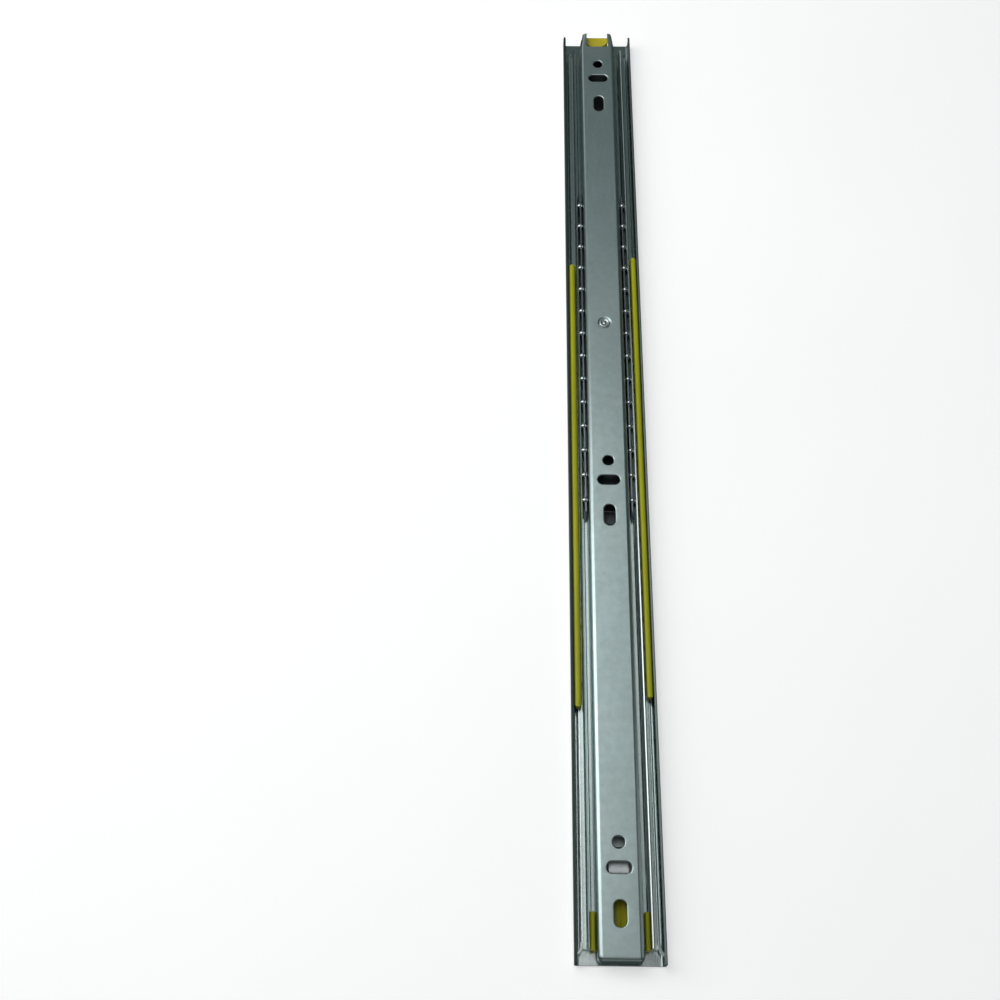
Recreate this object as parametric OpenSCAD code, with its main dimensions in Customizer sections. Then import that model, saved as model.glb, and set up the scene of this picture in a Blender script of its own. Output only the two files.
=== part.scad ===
// Three-section ball-bearing drawer slide, closed, lying on its cabinet face.
// X runs across, Y from the front (-Y) to the rear (+Y), Z from the cabinet
// face (z = 0) to the drawer face. Distances named "_from_front" are measured
// from the cabinet member's front edge.

/* [Overall] */
// Closed length
slide_length = 600; // [560:10:650]
// Width over the cabinet member
slide_width = 45; // [44.8:0.1:45.2]
// Thickness from cabinet face to drawer face
slide_thickness = 12.7; // [12.7:0.1:13.2]

/* [Sheet metal] */
// Sheet of the cabinet member
cabinet_sheet = 1.2; // [1:0.05:1.25]
// Sheet of the middle member
middle_sheet = 1.1; // [0.9:0.05:1.15]
// Sheet of the drawer member
drawer_sheet = 1.2; // [1:0.05:1.25]
// Sheet of the inner ball cage
cage_sheet = 0.75; // [0.6:0.05:0.8]

/* [Balls] */
// Diameter of the outer balls
outer_ball_d = 4.4; // [4.2:0.1:4.5]
// Number of balls in each outer row
outer_ball_count = 17; // [8:1:17]
// Diameter of the inner balls
inner_ball_d = 4; // [3.8:0.1:4.1]
// Number of balls in each inner row
inner_ball_count = 14; // [8:1:14]
// Distance from ball to ball
ball_pitch = 16; // [15:0.1:16.2]

/* [Screw holes] */
// Round screw hole diameter
round_hole_d = 6.2; // [5:0.1:6.4]
// Width of the slots along the slide
long_slot_w = 6.4; // [5:0.1:6.6]
// Length of the slots along the slide
long_slot_l = 13; // [10:0.5:14]
// Width of the slots across the slide
cross_slot_w = 6; // [5:0.1:6.2]
// Length of the slots across the slide
cross_slot_l = 12.6; // [10:0.1:13]

/* [Positions from the front] */
// Front end of the middle member
middle_from_front = 7.3; // [6:0.1:8]
// Front end of the left outer ball retainer
left_retainer_from_front = 128; // [125:1:140]
// Front end of the right outer ball retainer
right_retainer_from_front = 133.4; // [125:0.2:140]
// Front end of the inner ball cage
cage_from_front = 238.6; // [238:0.2:245]
// Stop rivet of the drawer member
rivet_from_front = 366; // [366:1:370]

/* [Hidden] */

$fn = 48;
arc_steps = 8;              // straight steps in each quarter of a bend
cut = 1;                    // overshoot of a cutting solid
ball_gap = 0.1;             // play between a ball and its raceway
pocket_gap = 0.06;          // play between a ball and its pocket
half_width = slide_width / 2;

steel_colour = [0.66, 0.70, 0.70];
dark_steel_colour = [0.30, 0.33, 0.34];
yellow_colour = [0.72, 0.68, 0.10];

// Cabinet member
cabinet_bend_r = 1.8;
cabinet_curl_r = 2.2;
cabinet_curl_angle = 38;
cabinet_curl_z = 7.75;
cabinet_flange_x = half_width - cabinet_sheet / 2;
lance_z = 5.3;
lance_h = 3.1;
lance_root = 4.4;
lance_tip = 9.9;

// Inner ball row
inner_ball_x = 13.4;
inner_ball_z = 7.8;
inner_ball_r = inner_ball_d / 2;
middle_groove_r = inner_ball_r + ball_gap + middle_sheet / 2;
middle_groove_top = 42;
drawer_groove_r = inner_ball_r + ball_gap + drawer_sheet / 2;
drawer_groove_end = 230;

// Middle member: web, rounded foot, neck, and the groove round the inner balls
web_gap = 0.3;
middle_web_z = cabinet_sheet + web_gap + middle_sheet / 2;
foot_r = 0.95;
foot_x = 18.2;
neck_r = 0.8;
neck_z = middle_web_z + 2 * foot_r + neck_r;
neck_reach = middle_groove_r + neck_r;
neck_x = inner_ball_x + sqrt(pow(neck_reach, 2) - pow(inner_ball_z - neck_z, 2));
neck_angle = atan2(inner_ball_z - neck_z, inner_ball_x - neck_x);
middle_end = slide_length - 12;
middle_web_top = middle_web_z + middle_sheet / 2;
foot_top = middle_web_z + 2 * foot_r + middle_sheet / 2;
bridge_front = 38;
bridge_rear = 56.2;
bridge_top = 8;
bridge_half_w = 5;
catch_front = 62.2;
catch_h = 2;
window_l = 44;
window_w = 12;
windows_from_front = [122, 346, 492];
rear_tab_from_front = 584.6;
rear_tab_half_w = 7;
rear_tab_top = 10.2;
lug_h = 2;
lug_inner_x = 17.3;
lug_outer_x = 19.3;

// Outer ball row
outer_ball_x = 18.9;
outer_ball_z = 6.8;
outer_ball_r = outer_ball_d / 2;
retainer_l = 282.6;
retainer_half_w = 1.95;
retainer_body_half_w = 1.3;
retainer_base = foot_top + 0.35;
retainer_shoulder = 8.2;
retainer_top = 9.6;

// Drawer member
drawer_front = 0.5;
drawer_web_z = slide_thickness - drawer_sheet / 2;
drawer_bend_r = 1.8;
drawer_outer_bend = drawer_bend_r + drawer_sheet / 2;
drawer_flank_x = inner_ball_x - drawer_groove_r;
web_notch = slide_length - 11.8;
notch_half_w = 6.9;
notch_corner_r = 1.5;
prong_turn = 7.6;
group_from_front = [23, 238, slide_length - 62];
cross_slot_offset = 22;
round_hole_offset = 34.4;

// Inner ball cage
cage_base = middle_web_top + 0.35;
cage_flange_x = 13.03;
cage_bend_r = 1.2;
cage_top = 9.1;
cage_l = 228;
cage_web_setback = 5.4;
cage_tongue_l = 2.4;
cage_tongue_half_w = 8;
cage_bead_from_end = 5.4;
cage_bead_r = 0.45;
cage_nose_l = 4;
cage_nose_drop = 3;
first_inner_ball = cage_from_front + 10.4;

// Front buffer
buffer_front = 6.4;
buffer_arm_end = 24.6;
buffer_block_end = 34;
buffer_base = middle_web_top + 0.05;
buffer_floor = 4.9;
buffer_half_w = 13.3;
buffer_arm_x = 12.45;
buffer_arm_r = 1.3;
buffer_arm_z = 7.1;
buffer_block_half_w = 9.4;
buffer_block_top = 6.2;
buffer_ridge_half_w = 1.2;
buffer_ridge_top = 6.9;
buffer_peg_r = 3;
buffer_peg_from_front = 26;

// Rear bumper
bumper_half_w = 7.6;
bumper_top = 8.5;
bumper_flat_l = 2;
bumper_nose_l = 4.4;
bumper_peg_r = 3;
bumper_crown = 2;

// Stop rivet
rivet_head_r = 3;
rivet_head_t = 0.55;
rivet_sink = 0.65;
rivet_recess_r = 4;
rivet_shank_r = 2;
rivet_pin_r = 2.5;
rivet_pin_bottom = 7.2;
rivet_ring_r = 1.9;
rivet_pip_r = 0.8;
rivet_ring_depth = 0.25;
fit_gap = 0.05;

// Cabinet screw holes
cabinet_rounds = [37, 293, slide_length - 51];
cabinet_slot_step = 16;
cabinet_slot_side = [1, 1, -1];

function along(from_front) = from_front - slide_length / 2;

function arc(centre, r, start, end) =
    let (steps = max(2, ceil(abs(end - start) / 90 * arc_steps)))
    [for (i = [0 : steps])
        let (a = start + (end - start) * i / steps)
        centre + r * [cos(a), sin(a)]];

function unit(v) = v / norm(v);

function side_vector(path, i) =
    let (
        last = len(path) - 1,
        before = i == 0 ? path[1] - path[0] : path[i] - path[i - 1],
        after = i == last ? before : path[i + 1] - path[i],
        along_path = unit(unit(before) + unit(after)),
        stretch = along_path * unit(before)
    )
    [-along_path.y, along_path.x] / stretch;

function offset_side(path, d) = [for (i = [0 : len(path) - 1]) path[i] + d * side_vector(path, i)];

function reversed(list) = [for (i = [len(list) - 1 : -1 : 0]) list[i]];

// A right-hand half path that starts on the centre line, made whole
function both_sides(half) = concat(
    [for (i = [len(half) - 1 : -1 : 1]) [-half[i].x, half[i].y]],
    [for (i = [1 : len(half) - 1]) half[i]]
);

function sheet(path, t) = concat(offset_side(path, t / 2), reversed(offset_side(path, -t / 2)));

cabinet_half = concat(
    [[0, cabinet_sheet / 2]],
    arc([cabinet_flange_x - cabinet_bend_r, cabinet_sheet / 2 + cabinet_bend_r],
        cabinet_bend_r, -90, 0),
    arc([cabinet_flange_x - cabinet_curl_r, cabinet_curl_z], cabinet_curl_r, 0, cabinet_curl_angle)
);

middle_half = concat(
    [[0, middle_web_z]],
    arc([foot_x, middle_web_z + foot_r], foot_r, -90, 90),
    arc([neck_x, neck_z], neck_r, 270, neck_angle),
    arc([inner_ball_x, inner_ball_z], middle_groove_r, neck_angle - 180 + 6, middle_groove_top)
);

drawer_half = concat(
    [[0, drawer_web_z]],
    arc([drawer_flank_x - drawer_bend_r, drawer_web_z - drawer_bend_r], drawer_bend_r, 90, 0),
    arc([inner_ball_x, inner_ball_z], drawer_groove_r, 180, drawer_groove_end)
);

cage_half = concat(
    [[0, cage_base + cage_sheet / 2]],
    arc([cage_flange_x - cage_bend_r, cage_base + cage_sheet / 2 + cage_bend_r],
        cage_bend_r, -90, 0),
    [[cage_flange_x, cage_top]]
);

// An outline drawn in X and Z, run along the slide
module run(from, to) {
    translate([0, along(to), 0]) rotate([90, 0, 0]) linear_extrude(to - from) children();
}

// An outline drawn in Y and Z, run across the slide
module across(half_w) {
    translate([-half_w, 0, 0]) rotate([90, 0, 90]) linear_extrude(2 * half_w) children();
}

module both() {
    children();
    mirror([1, 0, 0]) children();
}

module slot_cut(from_front, l, w, z0, z1, turned = 0) {
    translate([0, along(from_front), z0]) rotate([0, 0, turned]) {
        for (end = [-1, 1]) {
            translate([0, end * (l - w) / 2, 0]) cylinder(d = w, h = z1 - z0);
        }
        translate([-w / 2, -(l - w) / 2, 0]) cube([w, l - w, z1 - z0]);
    }
}

module round_cut(from_front, r, z0, z1) {
    translate([0, along(from_front), z0]) cylinder(r = r, h = z1 - z0);
}

// Tongue lanced out of the flange and bent inward as the retainer's end stop
module lanced_tongue() {
    reach = cabinet_flange_x - 19;
    path = [
        [cabinet_flange_x, along(lance_root)],
        [cabinet_flange_x - 0.4 * reach, along(lance_root + 0.5)],
        [cabinet_flange_x - 0.78 * reach, along(lance_root + 1.6)],
        [cabinet_flange_x - 0.97 * reach, along(lance_root + 3.2)],
        [cabinet_flange_x - reach, along(lance_tip)]
    ];
    translate([0, 0, lance_z]) linear_extrude(lance_h) polygon(sheet(path, cabinet_sheet));
}

module lance_window() {
    translate([cabinet_flange_x - 2, along(lance_root + 1), lance_z - 0.2])
        cube([4, lance_tip - lance_root, lance_h + 0.4]);
}

module cabinet_member() {
    color(steel_colour) {
        difference() {
            run(0, slide_length) polygon(sheet(both_sides(cabinet_half), cabinet_sheet));
            for (i = [0 : len(cabinet_rounds) - 1]) {
                at = cabinet_rounds[i];
                step = cabinet_slot_side[i] * cabinet_slot_step;
                round_cut(at, round_hole_d / 2, -cut, cabinet_sheet + cut);
                slot_cut(at + step, long_slot_l, long_slot_w, -cut, cabinet_sheet + cut);
                slot_cut(at + 2 * step, cross_slot_l, cross_slot_w, -cut, cabinet_sheet + cut, 90);
            }
            round_cut(slide_length - 4.5, bumper_peg_r + fit_gap, -cut, cabinet_sheet + cut);
            both() lance_window();
        }
        both() lanced_tongue();
    }
}

// Strip of the web formed up into a stop for the drawer member's rivet
module rivet_bridge() {
    t = middle_sheet;
    path = [
        [along(bridge_front), middle_web_z],
        [along(bridge_front + 1.4), middle_web_z],
        [along(bridge_front + 5), bridge_top - t / 2],
        [along(bridge_rear - 2.4), bridge_top - t / 2],
        [along(bridge_rear - t / 2), bridge_top - 2],
        [along(bridge_rear - t / 2), middle_web_z]
    ];
    across(bridge_half_w) polygon(sheet(path, t));
}

// Tab lanced out of the web that stops the inner cage
module cage_catch() {
    across(3) translate([along(catch_front), middle_web_z]) square([middle_sheet, catch_h]);
}

// Tab lanced up near the rear end that closes the channel behind the inner cage
module rear_tab() {
    across(rear_tab_half_w) translate([along(rear_tab_from_front), middle_web_z])
        square([middle_sheet, rear_tab_top - middle_web_z]);
}

// Upturned end of the foot that stops the outer retainer
module rear_lug() {
    translate([lug_inner_x, along(middle_end - 1), foot_top - middle_sheet / 2])
        cube([lug_outer_x - lug_inner_x, 1, lug_h + middle_sheet / 2]);
}

module middle_member() {
    z0 = middle_web_z - middle_sheet / 2 - cut;
    z1 = middle_web_top + cut;
    color(steel_colour) {
        difference() {
            run(middle_from_front, middle_end)
                polygon(sheet(both_sides(middle_half), middle_sheet));
            for (at = windows_from_front) {
                slot_cut(at, window_l, window_w, z0, middle_web_top + 0.5);
            }
            translate([-bridge_half_w - 0.3, along(bridge_front + 1), z0])
                cube([2 * bridge_half_w + 0.6, bridge_rear - bridge_front - 1.6, z1 - z0 - 0.6]);
            translate([-3.3, along(catch_front + middle_sheet), z0])
                cube([6.6, 3.2, z1 - z0 - 0.6]);
            round_cut(buffer_peg_from_front, buffer_peg_r + fit_gap, z0, middle_web_top + 0.5);
        }
        rivet_bridge();
        cage_catch();
        rear_tab();
        both() rear_lug();
    }
}

module drawer_screw_holes() {
    z0 = drawer_web_z - drawer_sheet / 2 - cut;
    z1 = slide_thickness + cut;
    for (at = group_from_front) {
        slot_cut(at, long_slot_l, long_slot_w, z0, z1);
        slot_cut(at + cross_slot_offset, cross_slot_l, cross_slot_w, z0, z1, 90);
        round_cut(at + round_hole_offset, round_hole_d / 2, z0, z1);
    }
}

// What is cut away outside a rounded edge that runs across the front
module front_edge_round(r) {
    difference() {
        translate([-half_width, along(drawer_front) - cut, slide_thickness - r])
            cube([slide_width, r + cut, r + cut]);
        translate([-half_width, along(drawer_front + r), slide_thickness - r])
            rotate([0, 90, 0]) cylinder(r = r, h = slide_width);
    }
}

// What is cut away outside a rounded upright corner at the front
module front_corner_round(r) {
    corner_x = drawer_flank_x + drawer_sheet / 2;
    difference() {
        translate([corner_x - r, along(drawer_front) - cut, 0])
            cube([r + cut, r + cut, slide_thickness + cut]);
        translate([corner_x - r, along(drawer_front + r), -cut])
            cylinder(r = r, h = slide_thickness + 3 * cut);
    }
}

module drawer_shell() {
    whole = both_sides(drawer_half);
    outside = offset_side(whole, drawer_sheet / 2);
    inside = offset_side(whole, -drawer_sheet / 2);
    tip = inside[len(inside) - 1];
    filled = concat([[-tip.x, tip.y]], outside, [tip]);
    hollow = concat([[-tip.x, tip.y - cut]], inside, [[tip.x, tip.y - cut]]);
    difference() {
        run(drawer_front, web_notch + 0.4) polygon(filled);
        run(drawer_front + drawer_sheet, slide_length + cut) polygon(hollow);
        front_edge_round(drawer_outer_bend);
        both() front_corner_round(drawer_outer_bend);
    }
}

// Rear end of one flank, turned inward so that it enters the ball cage
module prong() {
    trim = 30;
    pivot = [drawer_flank_x + drawer_sheet / 2, along(web_notch), 0];
    intersection() {
        translate(pivot) rotate([0, 0, prong_turn]) translate(-pivot)
            run(web_notch - 0.3, slide_length + 4) polygon(sheet(both_sides(drawer_half), drawer_sheet));
        translate([notch_half_w - 1, along(slide_length) - trim, 0]) cube([9, trim, slide_thickness]);
    }
}

// The web ends short of the two prongs
module rear_notch() {
    z0 = slide_thickness - drawer_sheet - 0.5;
    h = drawer_sheet + 0.5 + cut;
    inner = notch_half_w - notch_corner_r;
    reach = slide_length - web_notch + cut;
    translate([-inner, along(web_notch), z0]) cube([2 * inner, reach, h]);
    translate([-notch_half_w, along(web_notch + notch_corner_r), z0]) cube([2 * notch_half_w, reach, h]);
    both() translate([inner, along(web_notch + notch_corner_r), z0])
        cylinder(r = notch_corner_r, h = h);
}

// Dished seat of the rivet's head, wider at the drawer face
module rivet_seat() {
    seat_r = rivet_head_r + fit_gap;
    translate([0, along(rivet_from_front), slide_thickness - rivet_sink])
        cylinder(r1 = seat_r, r2 = rivet_recess_r, h = rivet_sink);
    round_cut(rivet_from_front, rivet_recess_r, slide_thickness - 0.01, slide_thickness + cut);
}

module drawer_member() {
    color(steel_colour) {
        difference() {
            union() {
                drawer_shell();
                both() prong();
            }
            drawer_screw_holes();
            rear_notch();
            round_cut(rivet_from_front, rivet_shank_r + fit_gap, slide_thickness - 2, slide_thickness);
            rivet_seat();
        }
    }
}

// Outline of a retainer: a narrow body under a crowned cap
module retainer_outline() {
    rise = retainer_top - retainer_shoulder;
    crown_r = (pow(retainer_half_w, 2) + pow(rise, 2)) / (2 * rise);
    half = concat(
        [[retainer_body_half_w, retainer_base]],
        [[retainer_body_half_w, retainer_shoulder]],
        arc([0, retainer_top - crown_r], crown_r, asin(1 - rise / crown_r), 90)
    );
    translate([outer_ball_x, 0])
        polygon(concat(half, [for (i = [len(half) - 2 : -1 : 0]) [-half[i].x, half[i].y]]));
}

module outer_row(from_front, r) {
    first = from_front + (retainer_l - (outer_ball_count - 1) * ball_pitch) / 2;
    for (i = [0 : outer_ball_count - 1]) {
        translate([outer_ball_x, along(first + i * ball_pitch), outer_ball_z]) sphere(r = r);
    }
}

module outer_retainer(from_front) {
    color(yellow_colour) difference() {
        run(from_front, from_front + retainer_l) retainer_outline();
        outer_row(from_front, outer_ball_r + pocket_gap);
        for (end = [0, 1]) {
            at = from_front + end * retainer_l;
            inward = end == 0 ? 1 : -1;
            translate([outer_ball_x, along(at), retainer_base - cut]) difference() {
                translate([-3, inward > 0 ? -cut : -retainer_half_w, 0])
                    cube([6, retainer_half_w + cut, 8]);
                translate([0, inward * retainer_half_w, -cut]) cylinder(r = retainer_half_w, h = 10);
            }
        }
    }
}

module outer_retainer_left() {
    mirror([1, 0, 0]) outer_retainer(left_retainer_from_front);
}

module outer_retainer_right() {
    outer_retainer(right_retainer_from_front);
}

module outer_balls_left() {
    color(steel_colour) mirror([1, 0, 0]) outer_row(left_retainer_from_front, outer_ball_r);
}

module outer_balls_right() {
    color(steel_colour) outer_row(right_retainer_from_front, outer_ball_r);
}

module inner_row(r) {
    for (i = [0 : inner_ball_count - 1]) {
        translate([inner_ball_x, along(first_inner_ball + i * ball_pitch), inner_ball_z]) sphere(r = r);
    }
}

// Wedge that slopes the upper corner at one end of the cage's flanges
module cage_nose(end_at, inward) {
    across(half_width) polygon([
        [along(end_at) - inward * cut, cage_top - cage_nose_drop],
        [along(end_at), cage_top - cage_nose_drop],
        [along(end_at) + inward * cage_nose_l, cage_top + cut],
        [along(end_at) - inward * cut, cage_top + cut]
    ]);
}

// Flat tongue that carries the cage's web forward, and the bead pressed across it
module cage_tongue() {
    top = cage_base + cage_sheet;
    translate([-cage_tongue_half_w, along(cage_from_front - cage_tongue_l), cage_base])
        cube([2 * cage_tongue_half_w, cage_tongue_l + 1, cage_sheet]);
    across(cage_flange_x - 2.5) translate([along(cage_from_front + cage_bead_from_end), top])
        circle(r = cage_bead_r);
}

module inner_cage() {
    cage_end = cage_from_front + cage_l;
    web_h = 2.2;
    color(dark_steel_colour) {
        difference() {
            run(cage_from_front, cage_end) polygon(sheet(both_sides(cage_half), cage_sheet));
            for (i = [0 : inner_ball_count - 1]) {
                translate([-half_width, along(first_inner_ball + i * ball_pitch), inner_ball_z])
                    rotate([0, 90, 0]) cylinder(r = inner_ball_r + pocket_gap, h = slide_width);
            }
            translate([-half_width, along(cage_end - cage_web_setback), cage_base - cut])
                cube([slide_width, cage_web_setback + cut, web_h + cut]);
            cage_nose(cage_from_front, 1);
            cage_nose(cage_end, -1);
        }
        cage_tongue();
    }
}

module inner_balls_left() {
    color(steel_colour) mirror([1, 0, 0]) inner_row(inner_ball_r);
}

module inner_balls_right() {
    color(steel_colour) inner_row(inner_ball_r);
}

module buffer_arm() {
    intersection() {
        union() {
            translate([inner_ball_x, buffer_arm_z]) circle(r = buffer_arm_r);
            translate([buffer_arm_x, buffer_floor - 0.5])
                square([buffer_half_w - buffer_arm_x, buffer_arm_z - buffer_floor]);
        }
        translate([buffer_arm_x, 0]) square([4, slide_thickness]);
    }
}

module front_buffer() {
    shoulder = 1.2;
    color(yellow_colour) {
        run(buffer_front, buffer_arm_end) {
            translate([-buffer_half_w, buffer_base])
                square([2 * buffer_half_w, buffer_floor - buffer_base]);
            buffer_arm();
            mirror([1, 0]) buffer_arm();
        }
        run(buffer_front, buffer_block_end) polygon([
            [-buffer_block_half_w, buffer_base],
            [buffer_block_half_w, buffer_base],
            [buffer_block_half_w, buffer_block_top - shoulder],
            [buffer_block_half_w - shoulder, buffer_block_top],
            [buffer_ridge_half_w, buffer_block_top],
            [0, buffer_ridge_top],
            [-buffer_ridge_half_w, buffer_block_top],
            [-buffer_block_half_w + shoulder, buffer_block_top],
            [-buffer_block_half_w, buffer_block_top - shoulder]
        ]);
        round_cut(buffer_peg_from_front, buffer_peg_r,
            middle_web_top - middle_sheet + fit_gap, buffer_base + 0.5);
    }
}

module rear_bumper() {
    flat_front = slide_length - bumper_flat_l;
    squash = bumper_nose_l / bumper_half_w;
    nose = [for (a = [180 : 10 : 360])
        [bumper_half_w * cos(a), along(flat_front) + bumper_half_w * squash * sin(a)]];
    base = cabinet_sheet + fit_gap;
    crown_front = flat_front - bumper_nose_l;
    color(yellow_colour) {
        difference() {
            translate([0, 0, base]) linear_extrude(bumper_top - base)
                polygon(concat([[-bumper_half_w, along(slide_length)]], nose,
                    [[bumper_half_w, along(slide_length)]]));
            across(bumper_half_w + cut) polygon([
                [along(crown_front) - cut, bumper_top - bumper_crown],
                [along(crown_front), bumper_top - bumper_crown],
                [along(flat_front), bumper_top],
                [along(flat_front), bumper_top + cut],
                [along(crown_front) - cut, bumper_top + cut]
            ]);
        }
        round_cut(slide_length - 4.5, bumper_peg_r, fit_gap, base + 0.5);
    }
}

module stop_rivet() {
    head_base = slide_thickness - rivet_sink + fit_gap;
    head_top = head_base + rivet_head_t;
    web_bottom = slide_thickness - drawer_sheet;
    rim = 0.3;
    color(steel_colour) difference() {
        union() {
            round_cut(rivet_from_front, rivet_head_r, head_base, head_top - rim);
            translate([0, along(rivet_from_front), head_top - rim])
                cylinder(r1 = rivet_head_r, r2 = rivet_head_r - rim, h = rim);
            round_cut(rivet_from_front, rivet_shank_r, web_bottom - 1, head_base + 0.2);
            round_cut(rivet_from_front, rivet_pin_r, rivet_pin_bottom, web_bottom - fit_gap);
        }
        difference() {
            round_cut(rivet_from_front, rivet_ring_r, head_top - rivet_ring_depth, head_top + cut);
            round_cut(rivet_from_front, rivet_pip_r, 0, head_top + 2 * cut);
        }
    }
}

cabinet_member();
middle_member();
drawer_member();
outer_retainer_left();
outer_retainer_right();
outer_balls_left();
outer_balls_right();
inner_cage();
inner_balls_left();
inner_balls_right();
front_buffer();
rear_bumper();
stop_rivet();
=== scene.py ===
import math

import bmesh
import bpy
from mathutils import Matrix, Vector


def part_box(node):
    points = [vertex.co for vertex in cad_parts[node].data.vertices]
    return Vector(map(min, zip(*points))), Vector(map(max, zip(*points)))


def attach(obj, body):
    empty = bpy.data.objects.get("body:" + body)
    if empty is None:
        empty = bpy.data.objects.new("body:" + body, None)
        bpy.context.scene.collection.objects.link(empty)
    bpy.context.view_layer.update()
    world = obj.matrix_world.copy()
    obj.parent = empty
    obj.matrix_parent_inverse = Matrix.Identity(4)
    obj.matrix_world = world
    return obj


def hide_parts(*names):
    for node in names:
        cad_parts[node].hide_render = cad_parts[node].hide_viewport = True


# Sizes are in millimetres, apart from the camera, the lights and the floor, which
# are in metres. X runs across the slide, S is the distance from its front end, and
# Z is the height above the cabinet face.
MM = 0.001

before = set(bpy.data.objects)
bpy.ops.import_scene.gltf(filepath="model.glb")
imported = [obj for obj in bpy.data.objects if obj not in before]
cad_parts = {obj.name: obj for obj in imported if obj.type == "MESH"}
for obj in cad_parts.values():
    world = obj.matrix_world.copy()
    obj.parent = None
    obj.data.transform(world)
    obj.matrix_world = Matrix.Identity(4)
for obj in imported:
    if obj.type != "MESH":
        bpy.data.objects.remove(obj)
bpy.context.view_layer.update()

LENGTH = (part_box("cabinet_member")[1].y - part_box("cabinet_member")[0].y) / MM
HALF_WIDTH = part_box("cabinet_member")[1].x / MM
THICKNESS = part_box("drawer_member")[1].z / MM


def node_ends(node):
    """Where a CAD node starts and ends along the slide."""
    low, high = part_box(node)
    return low.y / MM + LENGTH / 2, high.y / MM + LENGTH / 2


# Sheet metal
CABINET_SHEET = 1.2
MIDDLE_SHEET = 1.1
DRAWER_SHEET = 1.2
SHEAR_EDGE = 0.12           # softened corner of a sheared sheet end
TIP_ROUND = 0.12            # how far a sheet's long edge is rounded

# Steps in each kind of round stretch
BEND_STEPS = 8              # a right-angle bend
ROLL_STEPS = 4              # a punched hole's rolled edge
CURL_STEPS = 5              # the cabinet member's rim
LIP_STEPS = 6               # the drawer member's groove
NOTCH_STEPS = 6             # a corner of the drawer member's rear notch
NECK_STEPS = 10             # the middle member's neck
GROOVE_STEPS = 10           # the middle member's groove
LATHE_STEPS = 48            # a whole turn of the rivet

# Cross-sections along a sheet: their distance, and how near one may come to a given place
STATION_STEP = 20
STATION_CLEAR = 4

# Punched holes: the rolled edge on the seen side, and the softened edge on the hidden side
DRAWER_HOLE_ROLL = 0.6
CABINET_HOLE_ROLL = 0.3
MIDDLE_HOLE_ROLL = 0.2
HOLE_BURR = 0.12
ROUND_R = 3.1
LONG_SLOT_HALF = (3.2, 6.5)
CROSS_SLOT_HALF = (6.3, 3.0)
PEG_R = 3.05

# Inner ball rows
BALL_X, BALL_Z, BALL_R = 13.4, 7.8, 2.0
BALL_GAP = 0.1

# Cabinet member
CABINET_BEND = 1.8
CURL_R, CURL_ANGLE, CURL_Z = 2.2, 38, 7.75
CABINET_ROUNDS = ((37, 1), (293, 1), (LENGTH - 51, -1))     # place, and side of its slots
CABINET_SLOT_STEP = 16
BUMPER_PEG_FROM_REAR = 4.5

# Lanced tongues: their window, and their curve as (share of the way in, distance behind the root)
LANCE_FRONT, LANCE_REAR = 5.4, 10.9
LANCE_ROOT = LANCE_FRONT - 1
LANCE_LOW, LANCE_LIFT, LANCE_HEIGHT = 5.1, 0.2, 3.1
LANCE_TIP_X = 19.0
LANCE_CURVE = ((0, 0), (0.4, 0.5), (0.78, 1.6), (0.97, 3.2), (1, LANCE_REAR - LANCE_FRONT))

# Middle member
WEB_GAP = 0.3
FOOT_R, FOOT_X, NECK_R = 0.95, 18.2, 0.8
GROOVE_START, GROOVE_TOP = 6, 42                            # degrees past the neck, and at the lip
WINDOWS = (122, 346, 492)
WINDOW_HALF = (6, 22)
BUFFER_PEG_S = 26
LUG_X, LUG_TOP, LUG_SHEET = (17.3, 19.3), 6.5, 1.0

# Bridge: its ends, and its ramp as (distance behind the front end, height from web or top)
BRIDGE = (38, 56.2)
BRIDGE_TOP, BRIDGE_HALF = 8, 5
BRIDGE_FOOT = ((0.9, 0), (1.6, 0.1))
BRIDGE_SHOULDER = ((4.6, -0.35), (5.3, -0.05), (6.2, 0))
BRIDGE_REAR_R = 1.4
BRIDGE_SLOT_SHIFT, BRIDGE_SLOT_SHORT, BRIDGE_SLOT_CORNER = 0.2, 0.8, 0.6

# Tabs lanced out of the middle web, and the slot that the front one leaves
CATCH_FRONT, CATCH_HALF, CATCH_TOP = 62.2, 3, 4.05
CATCH_SLOT_HALF, CATCH_SLOT_CORNER = 1.6, 0.4
REAR_TAB_FRONT, REAR_TAB_HALF, REAR_TAB_TOP = LENGTH - 15.4, 7, 10.2
SLOT_SIDE = 0.3             # how much wider than its tab or bridge a slot is, on each side

# Drawer member
DRAWER_BEND = 1.8
LIP_END = 230
FRONT_TURNS = (5, 18, 33, 48, 62, 76, 90)
FIRST_STATION = 0.8         # first straight section, behind the rounded front end
NOTCH_S = LENGTH - 11.8
NOTCH_HALF, NOTCH_TIP_HALF, NOTCH_CORNER = 7.3, 6.8, 1.5
PRONG_TURN = 7.6
PRONG_STATIONS = (0, 1.5, 4, 7, 10)
HOLE_GROUPS = (23, 238, LENGTH - 62)
CROSS_SLOT_STEP, ROUND_STEP = 22, 34.4

# Stop rivet and its dished seat, as (radius, height from the drawer face)
RIVET_S = sum(node_ends("stop_rivet")) / 2
RIVET_SEAT = ((4.35, 0), (4.15, -0.06), (3.7, -0.25), (3.3, -0.5), (3.05, -0.65), (2.05, -0.65),
              (2.05, -DRAWER_SHEET))
RIVET_FORM = ((0.35, -0.12), (0.65, -0.2), (0.85, -0.33), (1.1, -0.37), (1.6, -0.36), (1.9, -0.28),
              (2.15, -0.14), (2.45, -0.06), (2.7, -0.08), (2.9, -0.18), (3.0, -0.33), (3.0, -0.6),
              (2.0, -0.6), (2.0, -1.25), (2.5, -1.25), (2.5, -5.2), (2.2, -5.5))
RIVET_CROWN = 0.06

# Sharp edges kept by the shading and the bevels, in degrees
SHEET_SHARP = 32
RIVET_SHARP = 50
BEVEL_SHARP = 35

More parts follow.
